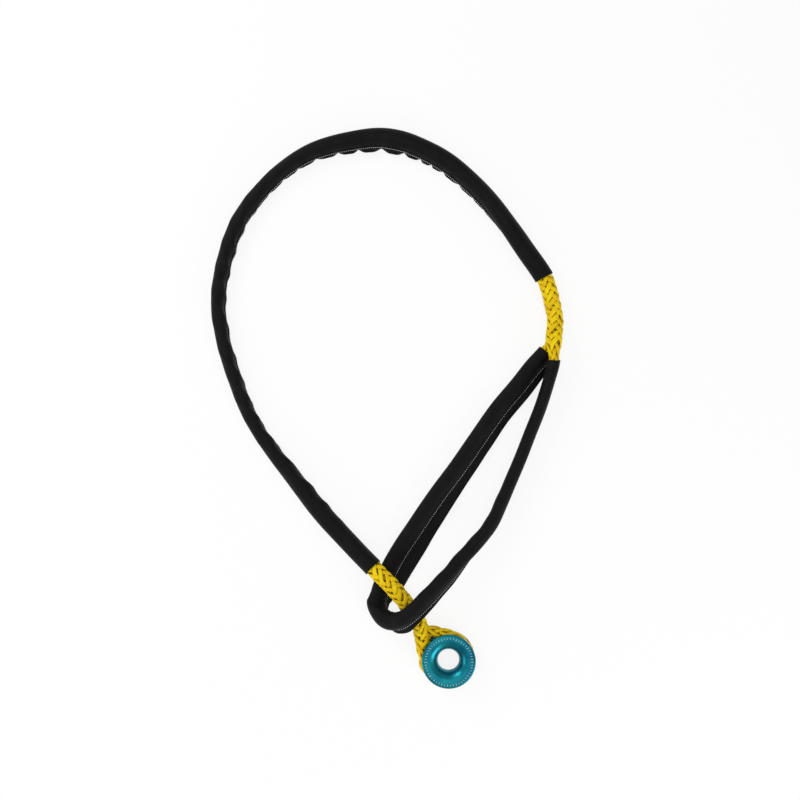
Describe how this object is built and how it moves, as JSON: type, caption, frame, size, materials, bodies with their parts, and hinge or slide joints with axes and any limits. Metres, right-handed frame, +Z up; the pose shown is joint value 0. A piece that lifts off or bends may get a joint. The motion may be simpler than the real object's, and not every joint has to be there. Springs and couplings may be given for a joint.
{
  "type": "rope sling with a low friction ring",
  "caption": "Spliced hollow-braid rope sling with sewn fabric sleeves and a grooved trumpet-bore ring, lying choked through its own eye.",
  "frame": {"origin": "on the ground, under the middle of the whole outline as it lies", "axes": "+Y from the ring towards the far side of the big loop, +X towards the splice of the eye, +Z up from the ground"},
  "size_m": [0.4708, 0.7426, 0.0508],
  "materials": {
    "anodised_aluminium": "turned and polished, anodised teal",
    "rope_yarn": "coated yellow filament yarn, laid in flat braided strands",
    "sleeve_fabric": "plain woven black textured nylon",
    "seam_thread": "grey sewing thread",
    "lock_thread": "waxed pale whipping thread"
  },
  "bodies": {
    "sling": {"ring_eye": "rope_yarn", "standing_rope": "rope_yarn", "ring_splice_tail": "rope_yarn", "eye_splice_tail": "rope_yarn", "eye_rope": "rope_yarn", "body_sleeve": "sleeve_fabric", "eye_sleeve": "sleeve_fabric", "body_sleeve_needle_thread": "seam_thread", "body_sleeve_bobbin_thread": "seam_thread", "eye_sleeve_needle_thread": "seam_thread", "eye_sleeve_bobbin_thread": "seam_thread", "eye_splice_lock_stitch": "lock_thread", "ring_splice_lock_stitch": "lock_thread"},
    "ring": {"rigging_ring": "anodised_aluminium"}
  },
  "joints": [
    {"name": "ring_spin", "type": "hinge", "parent": "sling", "child": "ring", "pos_m": [0.082, -0.337, 0.015], "axis": [0, 0, 1], "continuous": true}
  ]
}
